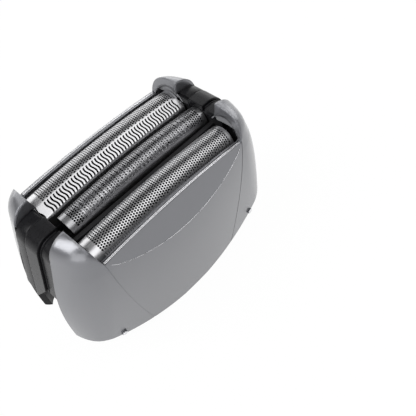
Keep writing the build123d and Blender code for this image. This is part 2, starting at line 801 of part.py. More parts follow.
# Springs of square wire with ground ends, between the carrier and the comb
with BuildPart() as right_cutter_spring:
    spring_height = comb_foot - carrier_top
    spring_place = (centre_shift + spring_x, centre_y, carrier_top)
    with BuildLine() as coil:
        Helix(spring_height / spring_turns, spring_height, spring_radius, center=spring_place)
    with BuildSketch(Plane(coil.line @ 0, x_dir=(1, 0, 0), z_dir=coil.line % 0)):
        Rectangle(spring_wire, spring_wire)
    sweep(is_frenet=True)
    split(bisect_by=Plane.XY.offset(comb_foot), keep=Keep.BOTTOM)
    split(bisect_by=Plane.XY.offset(carrier_top), keep=Keep.TOP)
right_cutter_spring.part.label = "right_cutter_spring"
export_step(right_cutter_spring.part, "parts/right_cutter_spring.step")

with BuildPart() as left_cutter_spring:
    with Locations((-2 * spring_x, 0, 0)):
        add(right_cutter_spring.part)
left_cutter_spring.part.label = "left_cutter_spring"
export_step(left_cutter_spring.part, "parts/left_cutter_spring.step")
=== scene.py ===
import json
import math

import bmesh
import bpy
from mathutils import Matrix, Vector
from mathutils.bvhtree import BVHTree


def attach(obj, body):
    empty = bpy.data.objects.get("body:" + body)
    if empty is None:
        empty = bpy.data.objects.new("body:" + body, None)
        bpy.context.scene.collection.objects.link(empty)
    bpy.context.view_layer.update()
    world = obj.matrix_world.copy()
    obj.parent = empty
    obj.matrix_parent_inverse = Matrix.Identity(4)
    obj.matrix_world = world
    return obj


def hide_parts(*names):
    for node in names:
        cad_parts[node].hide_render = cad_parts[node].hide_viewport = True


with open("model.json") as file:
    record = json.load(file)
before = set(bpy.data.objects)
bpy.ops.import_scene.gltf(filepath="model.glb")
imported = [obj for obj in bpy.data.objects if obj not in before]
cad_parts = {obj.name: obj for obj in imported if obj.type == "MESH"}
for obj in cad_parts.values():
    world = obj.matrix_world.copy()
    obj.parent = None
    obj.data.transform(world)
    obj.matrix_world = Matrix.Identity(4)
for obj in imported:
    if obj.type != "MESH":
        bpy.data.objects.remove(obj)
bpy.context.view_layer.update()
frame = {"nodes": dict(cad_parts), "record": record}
scene = bpy.context.scene
millimetre = 0.001


# Grain: one node group that every material places with its own values

grainSet = {"detail": 3.0, "depth": 0.02, "edgeSamples": 6}


def newGroup(groupName, inputs, outputs):
    group = bpy.data.node_groups.new(groupName, "ShaderNodeTree")
    for socketName, socketType, default in inputs:
        socket = group.interface.new_socket(socketName, in_out="INPUT", socket_type=socketType)
        socket.default_value = default
    for socketName, socketType in outputs:
        group.interface.new_socket(socketName, in_out="OUTPUT", socket_type=socketType)
    entry = group.nodes.new("NodeGroupInput")
    leave = group.nodes.new("NodeGroupOutput")
    return group, entry, leave


def makeGrainGroup():
    inputs = [
        ("Scale", "NodeSocketFloat", 4000.0),
        ("Stretch", "NodeSocketVector", (1.0, 1.0, 1.0)),
        ("Low", "NodeSocketFloat", 0.3),
        ("High", "NodeSocketFloat", 0.4),
        ("Bump", "NodeSocketFloat", 0.1),
        ("Edge", "NodeSocketFloat", 0.0001),
        ("Edge From", "NodeSocketFloat", 0.0),
    ]
    outputs = [("Roughness", "NodeSocketFloat"), ("Normal", "NodeSocketVector")]
    group, entry, leave = newGroup("surfaceGrain", inputs, outputs)
    coordinates = group.nodes.new("ShaderNodeTexCoord")
    stretch = group.nodes.new("ShaderNodeVectorMath")
    stretch.operation = "MULTIPLY"
    noise = group.nodes.new("ShaderNodeTexNoise")
    noise.inputs["Detail"].default_value = grainSet["detail"]
    spread = group.nodes.new("ShaderNodeMapRange")
    bump = group.nodes.new("ShaderNodeBump")
    bump.inputs["Distance"].default_value = grainSet["depth"] * millimetre
    rounded = group.nodes.new("ShaderNodeBevel")
    rounded.samples = grainSet["edgeSamples"]
    plain = group.nodes.new("ShaderNodeNewGeometry")
    height = group.nodes.new("ShaderNodeSeparateXYZ")
    above = group.nodes.new("ShaderNodeMath")
    above.operation = "GREATER_THAN"
    chosen = group.nodes.new("ShaderNodeMix")
    chosen.data_type = "VECTOR"
    links = group.links
    links.new(coordinates.outputs["Object"], stretch.inputs[0])
    links.new(entry.outputs["Stretch"], stretch.inputs[1])
    links.new(stretch.outputs["Vector"], noise.inputs["Vector"])
    links.new(entry.outputs["Scale"], noise.inputs["Scale"])
    links.new(noise.outputs["Fac"], spread.inputs["Value"])
    links.new(entry.outputs["Low"], spread.inputs["To Min"])
    links.new(entry.outputs["High"], spread.inputs["To Max"])
    links.new(spread.outputs["Result"], leave.inputs["Roughness"])
    links.new(coordinates.outputs["Object"], height.inputs["Vector"])
    links.new(height.outputs["Z"], above.inputs[0])
    links.new(entry.outputs["Edge From"], above.inputs[1])
    links.new(entry.outputs["Edge"], rounded.inputs["Radius"])
    links.new(above.outputs["Value"], chosen.inputs["Factor"])
    links.new(plain.outputs["Normal"], chosen.inputs["A"])
    links.new(rounded.outputs["Normal"], chosen.inputs["B"])
    links.new(chosen.outputs["Result"], bump.inputs["Normal"])
    links.new(noise.outputs["Fac"], bump.inputs["Height"])
    links.new(entry.outputs["Bump"], bump.inputs["Strength"])
    links.new(bump.outputs["Normal"], leave.inputs["Normal"])
    return group


grainGroup = makeGrainGroup()


# Finishes: what a look doesn't say is taken from the plain look

plainLook = {
    "specular": 0.5, "coat": 0.0, "coatRoughness": 0.1, "stretch": (1.0, 1.0, 1.0),
    "edge": 0.0, "edgeFrom": 0.0,
}


def makeMaterial(materialName, finish):
    look = {**plainLook, **finish}
    material = bpy.data.materials.new(materialName)
    material.use_nodes = True
    nodes = material.node_tree.nodes
    links = material.node_tree.links
    shader = nodes["Principled BSDF"]
    shader.inputs["Base Color"].default_value = (*look["colour"], 1.0)
    shader.inputs["Metallic"].default_value = look["metallic"]
    shader.inputs["Specular IOR Level"].default_value = look["specular"]
    shader.inputs["Coat Weight"].default_value = look["coat"]
    shader.inputs["Coat Roughness"].default_value = look["coatRoughness"]
    grain = nodes.new("ShaderNodeGroup")
    grain.node_tree = grainGroup
    grain.inputs["Scale"].default_value = look["grainScale"]
    grain.inputs["Stretch"].default_value = look["stretch"]
    grain.inputs["Low"].default_value = look["roughness"][0]
    grain.inputs["High"].default_value = look["roughness"][1]
    grain.inputs["Bump"].default_value = look["bump"]
    grain.inputs["Edge"].default_value = look["edge"] * millimetre
    grain.inputs["Edge From"].default_value = look["edgeFrom"] * millimetre
    links.new(grain.outputs["Roughness"], shader.inputs["Roughness"])
    links.new(grain.outputs["Normal"], shader.inputs["Normal"])
    return material


looks = {
    "silverPaint": {
        "colour": (0.182, 0.185, 0.198), "metallic": 0.7, "roughness": (0.30, 0.36),
        "grainScale": 9000.0, "bump": 0.05, "coat": 0.6, "coatRoughness": 0.12,
        "edge": 0.9, "edgeFrom": 35.9,
    },
    "satinGrey": {
        "colour": (0.34, 0.345, 0.36), "metallic": 0.25, "roughness": (0.38, 0.48),
        "grainScale": 6000.0, "bump": 0.05,
    },
    "glossBlack": {
        "colour": (0.008, 0.008, 0.009), "metallic": 0.0, "roughness": (0.24, 0.32),
        "grainScale": 2500.0, "bump": 0.02, "specular": 0.15, "edge": 0.35,
    },
    "dullBlack": {
        "colour": (0.012, 0.012, 0.013), "metallic": 0.0, "roughness": (0.38, 0.52),
        "grainScale": 5000.0, "bump": 0.1, "specular": 0.2,
    },
    # Near-black and barely reflecting: painted shade for the shadow in the gap between pad and arm
    "paintedGapShade": {
        "colour": (0.003, 0.003, 0.003), "metallic": 0.0, "roughness": (0.7, 0.8),
        "grainScale": 4000.0, "bump": 0.05, "specular": 0.08,
    },
    # Bright polished metal: used for the nub caps, and on the crease lines and rail lips a painted highlight,
    # brighter than the silver paint around them
    "polishedMetalAndPaintedHighlight": {
        "colour": (0.78, 0.78, 0.80), "metallic": 1.0, "roughness": (0.16, 0.24),
        "grainScale": 5000.0, "bump": 0.03,
    },
    "foilSteel": {
        "colour": (0.55, 0.55, 0.56), "metallic": 1.0, "roughness": (0.28, 0.36),
        "grainScale": 3000.0, "stretch": (0.15, 1.0, 1.0), "bump": 0.03,
    },
    # The same steel as the outer foils, painted darker: painted shade for the darker reflections on the
    # centre foil
    "centreFoilShadedSteel": {
        "colour": (0.33, 0.33, 0.34), "metallic": 1.0, "roughness": (0.28, 0.36),
        "grainScale": 3000.0, "stretch": (0.15, 1.0, 1.0), "bump": 0.03,
    },
    "bladeSteel": {
        "colour": (0.55, 0.55, 0.57), "metallic": 1.0, "roughness": (0.22, 0.34),
        "grainScale": 4000.0, "stretch": (1.0, 0.1, 1.0), "bump": 0.05,
    },
}
materials = {lookName: makeMaterial(lookName, finish) for lookName, finish in looks.items()}
print("materials made")


# Hand tools: one piece is active at a time, and its parts are picked by place

tolerance = {"weld": 0.001, "cut": 0.0001}


def activate(piece):
    bpy.ops.object.select_all(action="DESELECT")
    bpy.context.view_layer.objects.active = piece
    piece.select_set(True)


def nameAdded(pieceName):
    piece = bpy.context.active_object
    piece.name = pieceName
    piece.data.name = pieceName
    bpy.ops.object.transform_apply(location=True, rotation=True, scale=True)
    return piece


def pick(piece, kind, test):
    bpy.ops.object.mode_set(mode="EDIT")
    bpy.ops.mesh.select_mode(type=kind)
    bpy.ops.mesh.select_all(action="DESELECT")
    shape = bmesh.from_edit_mesh(piece.data)
    parts = {"VERT": shape.verts, "EDGE": shape.edges, "FACE": shape.faces}[kind]
    for part in parts:
        if test(part):
            part.select_set(True)
    shape.select_flush_mode()
    bmesh.update_edit_mesh(piece.data)


def pickAll():
    bpy.ops.object.mode_set(mode="EDIT")
    bpy.ops.mesh.select_all(action="SELECT")


def weld(distance):
    pickAll()
    bpy.ops.mesh.remove_doubles(threshold=distance * millimetre)
    bpy.ops.object.mode_set(mode="OBJECT")


def cutAway(place, outward):  # bisects the active piece and closes the cut
    pickAll()
    bpy.ops.mesh.bisect(
        plane_co=Vector(place) * millimetre, plane_no=outward, use_fill=True, clear_outer=True,
        threshold=tolerance["cut"] * millimetre,
    )


def turnOutwards():
    pickAll()
    bpy.ops.mesh.normals_make_consistent(inside=False)
    bpy.ops.object.mode_set(mode="OBJECT")


def thicken(piece, thickness, offset):
    wall = piece.modifiers.new("wall", "SOLIDIFY")
    wall.thickness = thickness * millimetre
    wall.offset = offset
    bpy.ops.object.modifier_apply(modifier=wall.name)


def mirrorPiece(piece, pieceName, axis):
    activate(piece)
    bpy.ops.object.duplicate()
    copied = bpy.context.active_object
    copied.scale[axis] = -1.0
    nameAdded(pieceName)
    turnOutwards()
    return copied


def finishPiece(piece, materialName, body, sharpDegrees):
    bpy.ops.object.mode_set(mode="OBJECT")
    activate(piece)
    piece.data.materials.clear()
    piece.data.materials.append(materials[materialName])
    piece.data.shade_smooth()
    piece.data.set_sharp_from_angle(angle=math.radians(sharpDegrees))
    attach(piece, body)


# Housing skins: welded and smoothed copies of the CAD shells, unpainted on the inside

shell = {"sharp": 25.0}
lining = {"top": 36.0, "edge": 6.3, "inward": 0.15, "square": 0.9}
facet = {"depth": 13.9, "height": 36.25, "lean": 10.7, "sharp": 4.0}
crease = {
    "half": 18.2, "high": 34.9, "flat": 0.9996, "merge": 0.05, "radius": 0.06, "rounding": 1, "sharp": 60.0,
}
seam = {"square": 0.9, "outer": 13.0, "depth": 0.15, "width": 0.16, "sharp": 30.0}


def isInside(face):
    middle = face.calc_center_median() / millimetre
    sideX = math.copysign(1.0, middle.x)
    sideY = math.copysign(1.0, middle.y)
    if middle.z > lining["top"]:
        return False
    if abs(middle.y) < lining["edge"] and -face.normal.y * sideY > lining["square"]:
        return True
    return face.normal.x * sideX < -lining["inward"] and face.normal.y * sideY < -lining["inward"]


def copyNode(node, pieceName):
    mesh = frame["nodes"][node].data.copy()
    mesh.name = pieceName
    piece = bpy.data.objects.new(pieceName, mesh)
    scene.collection.objects.link(piece)
    activate(piece)
    weld(tolerance["weld"])
    bpy.ops.mesh.customdata_custom_splitnormals_clear()
    return piece


def dressNode(node, pieceName, materialName):
    piece = copyNode(node, pieceName)
    finishPiece(piece, materialName, "housing", shell["sharp"])
    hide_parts(node)
    return piece


def dressCorner(node, pieceName):
    piece = dressNode(node, pieceName, "silverPaint")
    piece.data.materials.append(materials["dullBlack"])
    pick(piece, "FACE", isInside)
    piece.active_material_index = 1
    bpy.ops.object.material_slot_assign()
    bpy.ops.object.mode_set(mode="OBJECT")


def drawOff(piece):  # takes what is picked off as a piece of its own
    bpy.ops.mesh.duplicate()
    bpy.ops.mesh.separate(type="SELECTED")
    bpy.ops.object.mode_set(mode="OBJECT")
    return [other for other in bpy.context.selected_objects if other != piece][0]


def onSeam(face):
    middle = face.calc_center_median() / millimetre
    return abs(face.normal.x) > seam["square"] and abs(middle.x) > seam["outer"]


def finishSeam(filler, pieceName, side):  # closes the two joints beside a panel, a little below the surface
    activate(filler)
    filler.location.y = -side * seam["depth"] * millimetre
    nameAdded(pieceName)
    thicken(filler, seam["width"], 1.0)
    turnOutwards()
    finishPiece(filler, "silverPaint", "housing", seam["sharp"])


# The raised line is real shape, but its bright polished metal is a painted highlight along the crease of the
# silver paint
def finishCrease(line, pieceName):  # rounds the drawn edge into a fine raised line
    activate(line)
    weld(crease["merge"])
    bpy.ops.object.convert(target="CURVE")
    curve = bpy.context.active_object.data
    curve.bevel_depth = crease["radius"] * millimetre
    curve.bevel_resolution = crease["rounding"]
    curve.use_fill_caps = True
    bpy.ops.object.convert(target="MESH")
    bead = nameAdded(pieceName)
    weld(tolerance["weld"])
    turnOutwards()
    finishPiece(bead, "polishedMetalAndPaintedHighlight", "housing", crease["sharp"])


def dressPanel(node, pieceName, creaseName, seamName, side):
    lean = math.radians(facet["lean"])
    outward = Vector((0.0, side * math.cos(lean), math.sin(lean)))

    def onCrease(edge):
        middle = (edge.verts[0].co + edge.verts[1].co) / 2 / millimetre
        flat = [face for face in edge.link_faces if face.normal.dot(outward) > crease["flat"]]
        return len(flat) == 1 and abs(middle.x) < crease["half"] and middle.z < crease["high"]

    piece = copyNode(node, pieceName)
    cutAway((0.0, side * facet["depth"], facet["height"]), outward)
    turnOutwards()
    pick(piece, "EDGE", onCrease)
    line = drawOff(piece)
    activate(piece)
    pick(piece, "FACE", onSeam)
    filler = drawOff(piece)
    finishSeam(filler, seamName, side)
    finishPiece(piece, "silverPaint", "housing", facet["sharp"])
    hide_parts(node)
    finishCrease(line, creaseName)


dressPanel("front_panel", "frontPanelSkin", "frontCreaseLine", "frontSeamFiller", -1)
dressPanel("rear_panel", "rearPanelSkin", "rearCreaseLine", "rearSeamFiller", 1)
dressCorner("front_left_corner", "frontLeftCornerSkin")
dressCorner("front_right_corner", "frontRightCornerSkin")
dressCorner("rear_left_corner", "rearLeftCornerSkin")
dressCorner("rear_right_corner", "rearRightCornerSkin")
dressNode("left_end_band", "leftEndBandSkin", "glossBlack")
dressNode("right_end_band", "rightEndBandSkin", "glossBlack")
dressNode("left_end_arm", "leftEndArmSkin", "glossBlack")
dressNode("right_end_arm", "rightEndArmSkin", "glossBlack")
print("housing skins and crease lines made")

slotMaterials = {
    "silver_shell": "silverPaint", "gloss_black": "glossBlack", "dull_black": "dullBlack",
    "foil_steel": "foilSteel", "blade_steel": "bladeSteel",
}
for entry in frame["record"]["subparts"]:
    mesh = frame["nodes"][entry["node"]].data
    mesh.materials.clear()
    mesh.materials.append(materials[slotMaterials[entry["material_slot"]]])
print("frame nodes painted")


# Rail lips: two fine beads along the top of each rail, in bright polished metal that is a painted highlight
# on the rail's top edges

arch = {"half": 19.3, "fall": 1.0, "top": 36.25}
archRadius = arch["half"] ** 2 / (2.0 * arch["fall"])
archCentre = arch["top"] - archRadius
lip = {
    "outer": 13.9, "half": 19.15, "bead": 0.13, "beadPlaces": (0.14, 0.42), "sink": 0.1, "foot": 0.17,
    "sides": 16, "segments": 48, "sharp": 50.0,
}


def buildBead(y):
    turn = lip["half"] / archRadius
    reach = archRadius - lip["sink"]
    start = Vector((-reach * math.sin(turn), y, archCentre + reach * math.cos(turn))) * millimetre
    bpy.ops.mesh.primitive_circle_add(
        vertices=lip["sides"], radius=lip["bead"] * millimetre, fill_type="NGON",
        location=start, rotation=(0.0, math.pi / 2 - turn, 0.0),
    )
    bead = nameAdded("railBead")
    pick(bead, "VERT", lambda vertex: vertex.co.z < start.z)
    downward = Vector((math.sin(turn), 0.0, -math.cos(turn))) * lip["foot"] * millimetre
    bpy.ops.transform.translate(value=downward)
    bpy.ops.mesh.select_all(action="SELECT")
    middle = (0.0, 0.0, archCentre * millimetre)
    bpy.ops.mesh.spin(steps=lip["segments"], angle=-2 * turn, center=middle, axis=(0.0, 1.0, 0.0))
    turnOutwards()
    return bead


def buildLip(pieceName):  # modelled on the front rail
    first, second = [buildBead(place - lip["outer"]) for place in lip["beadPlaces"]]
    activate(first)
    second.select_set(True)
    bpy.ops.object.join()
    return nameAdded(pieceName)


frontLip = buildLip("frontRailLip")
rearLip = mirrorPiece(frontLip, "rearRailLip", 1)
for piece in (frontLip, rearLip):
    finishPiece(piece, "polishedMetalAndPaintedHighlight", "housing", lip["sharp"])
print("rail lips made")


# Nub caps: the polished ends of the four small pins on the bottom edge

cap = {
    "x": 21.7, "z": 6.3, "radius": 0.6, "rise": 0.16, "sink": 0.12, "soft": 0.15, "sides": 24, "softSteps": 4,
    "from": 40.0, "sharp": 50.0,
}


def shellPoint(node, x, z, side):
    mesh = frame["nodes"][node].data
    corners = [vertex.co for vertex in mesh.vertices]
    tree = BVHTree.FromPolygons(corners, [face.vertices for face in mesh.polygons])
    start = Vector((x, side * cap["from"], z)) * millimetre
    return tree.ray_cast(start, Vector((0.0, -side, 0.0)))[:2]


def buildCap(pieceName, node, sideX, sideY):
    place, normal = shellPoint(node, sideX * cap["x"], cap["z"], sideY)
    centre = place + normal * (cap["rise"] - cap["sink"]) / 2 * millimetre
    bpy.ops.mesh.primitive_cylinder_add(
        vertices=cap["sides"], radius=cap["radius"] * millimetre,
        depth=(cap["rise"] + cap["sink"]) * millimetre,
        location=centre, rotation=normal.to_track_quat("Z", "Y").to_euler(),
    )
    piece = nameAdded(pieceName)
    pick(piece, "EDGE", lambda edge: all((vertex.co - place).dot(normal) > 0.0 for vertex in edge.verts))
    bpy.ops.mesh.bevel(offset=cap["soft"] * millimetre, segments=cap["softSteps"], affect="EDGES")
    turnOutwards()
    finishPiece(piece, "polishedMetalAndPaintedHighlight", "housing", cap["sharp"])


buildCap("frontLeftNubCap", "front_left_corner", -1, -1)
buildCap("frontRightNubCap", "front_right_corner", 1, -1)
buildCap("rearLeftNubCap", "rear_left_corner", -1, 1)
buildCap("rearRightNubCap", "rear_right_corner", 1, 1)
print("nub caps made")


# End strips: on each end a rear pad and a front filler beside the arm, and between pad and arm a near-black
# strip, painted shade for the dark line of shadow in the gap

bridge = {
    "inner": 20.9, "bend": 22.4, "top": 37.6, "radius": 3.6, "lean": 14.5, "segments": 14, "softSteps": 4,
    "spare": 0.5, "sharp": 40.0,
}
strips = {
    # a near-black strip along the gap between pad and arm: painted shade for the shadow there
    "ArmGapPaintedShade": {
        "material": "paintedGapShade", "y": (2.3, 2.46), "rise": 0.02, "sink": 0.2,
        "foot": (23.0, 23.0), "soft": 0.0,
    },
    "RearPad": {
        "material": "glossBlack", "y": (2.44, 5.8), "rise": 0.52, "sink": 0.1,
        "foot": (21.0, 22.6), "soft": 0.3,
    },
    "FrontFiller": {
        "material": "glossBlack", "y": (-2.4, -2.02), "rise": 0.1, "sink": 0.4,
        "foot": (24.6, 24.6), "soft": 0.08,
    },
}


def buildStrip(pieceName, strip):  # modelled on the right end, from its inner edge over the bend to the foot
    low, high = strip["y"]
    lowFoot, highFoot = strip["foot"]
    lean = math.radians(bridge["lean"])
    middle = bridge["top"] + (strip["rise"] - strip["sink"]) / 2
    bpy.ops.mesh.primitive_plane_add(
        size=1.0, location=Vector((bridge["inner"], (low + high) / 2, middle)) * millimetre,
        rotation=(0.0, math.pi / 2, 0.0),
    )
    section = bpy.context.active_object
    section.scale = Vector((strip["rise"] + strip["sink"], high - low, 1.0)) * millimetre
    piece = nameAdded(pieceName)
    if strip["soft"] > 0.0:
        pick(piece, "VERT", lambda vertex: vertex.co.z > middle * millimetre)
        bpy.ops.mesh.bevel(offset=strip["soft"] * millimetre, segments=bridge["softSteps"], affect="VERTICES")
    pickAll()
    run = (bridge["bend"] - bridge["inner"]) * millimetre
    bpy.ops.mesh.extrude_region_move(TRANSFORM_OT_translate={"value": (run, 0.0, 0.0)})
    bendCentre = Vector((bridge["bend"], 0.0, bridge["top"] - bridge["radius"])) * millimetre
    bpy.ops.mesh.spin(
        steps=bridge["segments"], angle=lean - math.pi / 2, center=bendCentre, axis=(0.0, 1.0, 0.0)
    )
    drop = (bridge["top"] - min(lowFoot, highFoot) + bridge["spare"]) * millimetre
    bpy.ops.mesh.extrude_region_move(TRANSFORM_OT_translate={"value": (drop * math.tan(lean), 0.0, -drop)})
    downward = Vector((0.0, highFoot - lowFoot, low - high)).normalized()
    cutAway((0.0, low, lowFoot), downward)
    turnOutwards()
    return piece


for stripName, strip in strips.items():
    right = buildStrip("right" + stripName, strip)
    left = mirrorPiece(right, "left" + stripName, 0)
    for piece in (right, left):
        finishPiece(piece, strip["material"], "housing", bridge["sharp"])
print("end strips made")


# Horn dishes: the silver inside of each horn's mouth, behind the end of a foil

dish = {
    "x": 20.35, "deep": 0.6, "y": 8.5, "z": 34.2, "outer": 4.42, "low": 36.2, "thickness": 0.15,
    "segments": 48, "rings": 24, "flat": 0.99, "sharp": 50.0,
}


def buildDish(pieceName):  # modelled at the front right
    bpy.ops.mesh.primitive_uv_sphere_add(
        segments=dish["segments"], ring_count=dish["rings"], radius=dish["outer"] * millimetre,
        location=Vector((dish["x"], -dish["y"], dish["z"])) * millimetre,
    )
    ball = bpy.context.active_object
    ball.scale.x = dish["deep"] / dish["outer"]
    piece = nameAdded(pieceName)
    cutAway((dish["x"], 0.0, 0.0), (-1.0, 0.0, 0.0))
    cutAway((0.0, 0.0, dish["low"]), (0.0, 0.0, -1.0))
    pick(piece, "FACE", lambda face: min(face.normal.x, face.normal.z) < -dish["flat"])
    bpy.ops.mesh.delete(type="FACE")
    bpy.ops.object.mode_set(mode="OBJECT")
    thicken(piece, dish["thickness"], -1.0)
    turnOutwards()
    return piece


frontRightDish = buildDish("frontRightHornDish")
frontLeftDish = mirrorPiece(frontRightDish, "frontLeftHornDish", 0)
rearRightDish = mirrorPiece(frontRightDish, "rearRightHornDish", 1)
rearLeftDish = mirrorPiece(frontLeftDish, "rearLeftHornDish", 1)
for piece in (frontRightDish, frontLeftDish, rearRightDish, rearLeftDish):
    finishPiece(piece, "satinGrey", "housing", dish["sharp"])
print("horn dishes made")


# Foils: thin sheets with real holes, on one grid that all rows share

foilSheet = {
    "step": 0.806 / 6.0, "cell": 4, "dotRadius": 0.23, "thickness": 0.1, "sharp": 40.0,
    "plainStep": 0.5, "plainRows": 2, "endColumns": 6,
}
zones = {  # the length of a grid row, and for the slits how many columns they repeat over and are wide
    "waves": {"row": 0.2, "period": 6, "width": 3},
    "slits": {"row": 0.3, "period": 4, "width": 2},
    "dots": {"row": foilSheet["step"]},
}
foils = {
    "rearFoilSheet": {
        "node": "rear_foil", "body": "rear_foil_unit", "material": "foilSteel",
        "y": 8.2, "crest": 38.4, "radius": 3.65, "shift": 0.2, "half": 19.9,
        "slope": 30.0, "slopeLength": 3.1, "skirt": 32.7, "block": 12, "field": (-17.9, 19.3),
        "dots": (-1.72, 3.7), "slits": None, "waves": (-4.75, -1.95), "swing": 0.17,
    },
    "centreFoilSheet": {
        "node": "centre_foil", "body": "centre_foil_unit", "material": "centreFoilShadedSteel",
        "y": -0.3, "crest": 37.9, "radius": 2.92, "shift": 0.9, "half": 19.3,
        "slope": None, "slopeLength": 0.0, "skirt": 32.7, "block": 4, "field": (-16.9, 19.5),
        "dots": (-3.3, 3.2), "slits": None, "waves": None, "swing": 0.0,
    },
    "frontFoilSheet": {
        "node": "front_foil", "body": "front_foil_unit", "material": "foilSteel",
        "y": -8.75, "crest": 37.6, "radius": 3.65, "shift": -0.2, "half": 19.3,
        "slope": None, "slopeLength": 0.0, "skirt": 32.7, "block": 4, "field": (-17.7, 18.6),
        "dots": (-3.7, 3.3), "slits": (-6.2, -3.85), "waves": None, "swing": 0.0,
    },
}


def foilPoint(foil, x, along):  # along runs over the foil from its crest, towards the rear
    radius = foil["radius"]
    axisHeight = foil["crest"] - radius
    quarter = radius * math.pi / 2
    if foil["slope"] is None:
        bendEnd = -quarter
    else:
        bendEnd = -radius * math.radians(foil["slope"])
    if along > quarter:
        y, z = foil["y"] + radius, axisHeight - (along - quarter)
    elif along >= bendEnd:
        y = foil["y"] + radius * math.sin(along / radius)
        z = axisHeight + radius * math.cos(along / radius)
    else:
        turn = bendEnd / radius
        run = min(bendEnd - along, foil["slopeLength"])
        drop = max(bendEnd - along - foil["slopeLength"], 0.0)
        y = foil["y"] + radius * math.sin(turn) - run * math.cos(turn)
        z = axisHeight + radius * math.cos(turn) + run * math.sin(turn) - drop
    swing = (x - foil["shift"]) / archRadius
    reach = z - archCentre
    return Vector((foil["shift"] + reach * math.sin(swing), y, archCentre + reach * math.cos(swing)))


def wavedPoint(foil, x, along):  # the same with the slits' wave added
    if foil["waves"] and foil["waves"][0] < along < foil["waves"][1]:
        share = (along - foil["waves"][0]) / (foil["waves"][1] - foil["waves"][0])
        x = x + foil["swing"] * math.sin(2 * math.pi * share)
    return foilPoint(foil, x, along) * millimetre


def spacedLine(start, end, count):
    return [start + (end - start) * index / count for index in range(count)]


def plainRows(start, end):
    return spacedLine(start, end, max(foilSheet["plainRows"], round((end - start) / foilSheet["plainStep"])))


def foilRows(foil):
    radius = foil["radius"]
    quarter = radius * math.pi / 2
    rearEnd = quarter + foil["crest"] - radius - foil["skirt"]
    if foil["slope"] is None:
        frontEnd = -rearEnd
    else:
        turn = math.radians(foil["slope"])
        footHeight = foil["crest"] - radius + radius * math.cos(turn) - foil["slopeLength"] * math.sin(turn)
        frontEnd = -radius * turn - foil["slopeLength"] - (footHeight - foil["skirt"])
    rows = []
    marks = {}
    place = frontEnd
    for zoneName, zone in zones.items():
        if foil[zoneName] is None:
            continue
        low, high = foil[zoneName]
        rows += plainRows(place, low)
        count = round((high - low) / zone["row"])
        marks[zoneName] = (len(rows), len(rows) + count)
        rows += spacedLine(low, high, count)
        place = high
    rows += plainRows(place, rearEnd)
    rows.append(rearEnd)
    return rows, marks


def foilColumns(foil):
    low, high = foil["field"]
    count = int((high - low) / foilSheet["step"] / foil["block"]) * foil["block"]
    high = low + count * foilSheet["step"]
    columns = spacedLine(foil["shift"] - foil["half"], low, foilSheet["endColumns"])
    first = len(columns)
    columns += spacedLine(low, high, count)
    last = len(columns)
    end = foil["shift"] + foil["half"]
    columns += spacedLine(high, end, foilSheet["endColumns"])
    columns.append(end)
    return columns, first, last


def cellRing(cell):  # the grid points round one cell, in order
    side = range(cell)
    ring = [(k, 0) for k in side] + [(cell, k) for k in side]
    return ring + [(cell - k, cell) for k in side] + [(0, cell - k) for k in side]


def slitCells(marks, first, last):
    cells = set()
    for zoneName in ("waves", "slits"):
        if zoneName in marks:
            zone = zones[zoneName]
            for i in range(first, last):
                if (i - first) % zone["period"] < zone["width"]:
                    cells.update((i, j) for j in range(*marks[zoneName]))
    return cells


def buildFoil(pieceName, foil):
    rows, marks = foilRows(foil)
    columns, first, last = foilColumns(foil)
    cell = foilSheet["cell"]
    half = cell // 2
    ring = cellRing(cell)
    plate = bmesh.new()
    grid = [[plate.verts.new(wavedPoint(foil, x, along)) for along in rows] for x in columns]
    skipped = slitCells(marks, first, last)
    low, high = marks["dots"]
    for i in range(first, last - cell + 1, cell):
        shiftRow = half * (((i - first) // cell) % 2)  # every other column of dots is set down by half a cell
        for j in range(low + shiftRow, high - cell + 1, cell):
            skipped.update((i + a, j + b) for a in range(cell) for b in range(cell))
            hole = []
            for a, b in ring:
                turn = math.atan2(b - half, a - half)
                x = columns[i + half] + foilSheet["dotRadius"] * math.cos(turn)
                along = rows[j + half] + foilSheet["dotRadius"] * math.sin(turn)
                hole.append(plate.verts.new(wavedPoint(foil, x, along)))
            edge = [grid[i + a][j + b] for a, b in ring]
            for k in range(len(ring)):
                m = (k + 1) % len(ring)
                plate.faces.new((edge[k], edge[m], hole[m], hole[k]))
    for i in range(len(columns) - 1):
        for j in range(len(rows) - 1):
            if (i, j) not in skipped:
                plate.faces.new((grid[i][j], grid[i + 1][j], grid[i + 1][j + 1], grid[i][j + 1]))
    loose = [vertex for vertex in plate.verts if not vertex.link_faces]
    bmesh.ops.delete(plate, geom=loose, context="VERTS")
    mesh = bpy.data.meshes.new(pieceName)
    plate.to_mesh(mesh)
    plate.free()
    piece = bpy.data.objects.new(pieceName, mesh)
    scene.collection.objects.link(piece)
    activate(piece)
    thicken(piece, foilSheet["thickness"], -1.0)
    finishPiece(piece, foil["material"], foil["body"], foilSheet["sharp"])
    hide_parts(foil["node"])
    return piece


for pieceName, foil in foils.items():
    piece = buildFoil(pieceName, foil)
    print(pieceName, len(piece.data.polygons))
print("foils made")


# Floor and world: plain white to the eye and, in part, in reflections, but dimmer as a source of light

floorSet = {"size": 6.0, "height": -0.0001, "paint": 0.9, "roughness": 0.9, "seen": 0.97, "mirrored": 0.7}
worldSet = {"grey": (0.09, 0.09, 0.092), "strength": 1.0, "horizon": (0.04, 0.20)}
white = (1.0, 1.0, 1.0, 1.0)


def addMath(nodes, operation, clamped=False):
    node = nodes.new("ShaderNodeMath")
    node.operation = operation
    node.use_clamp = clamped
    return node


